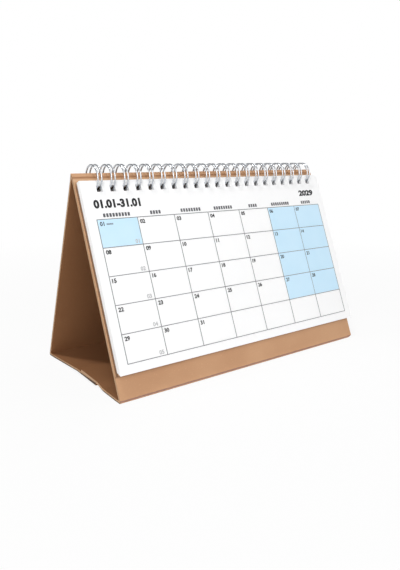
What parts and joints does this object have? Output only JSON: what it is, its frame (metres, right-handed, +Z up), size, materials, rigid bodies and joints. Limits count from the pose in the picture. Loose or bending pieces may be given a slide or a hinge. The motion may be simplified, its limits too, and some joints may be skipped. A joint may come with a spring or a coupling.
{
  "type": "desk calendar",
  "caption": "Tent-shaped desk calendar: folded board stand, twin-loop wire along its ridge and a page pad that flips over on the wire.",
  "frame": {"origin": "middle of the object's footprint, on the table", "axes": "+X along the ridge to the right as seen from the front, -Y towards the viewer of the pages, +Z up"},
  "size_m": [0.194, 0.097, 0.1254],
  "materials": {
    "kraft_board": "matt kraft board with visible fibres",
    "silver_wire": "bright silver-coated steel wire",
    "white_paper": "smooth white paper",
    "grey_print": "grey printing ink on paper",
    "blue_print": "light blue printing ink on paper"
  },
  "bodies": {
    "stand_and_wire": {"stand": "kraft_board", "wire_binding": "silver_wire"},
    "pages": {"page_pad": "white_paper", "printed_grid": "grey_print", "shaded_days": "blue_print"}
  },
  "joints": [
    {"name": "page_flip", "type": "hinge", "parent": "stand_and_wire", "child": "pages", "pos_m": [0, -0.00136, 0.11728], "axis": [-1, 0, 0], "range_deg": [0, 226]}
  ]
}
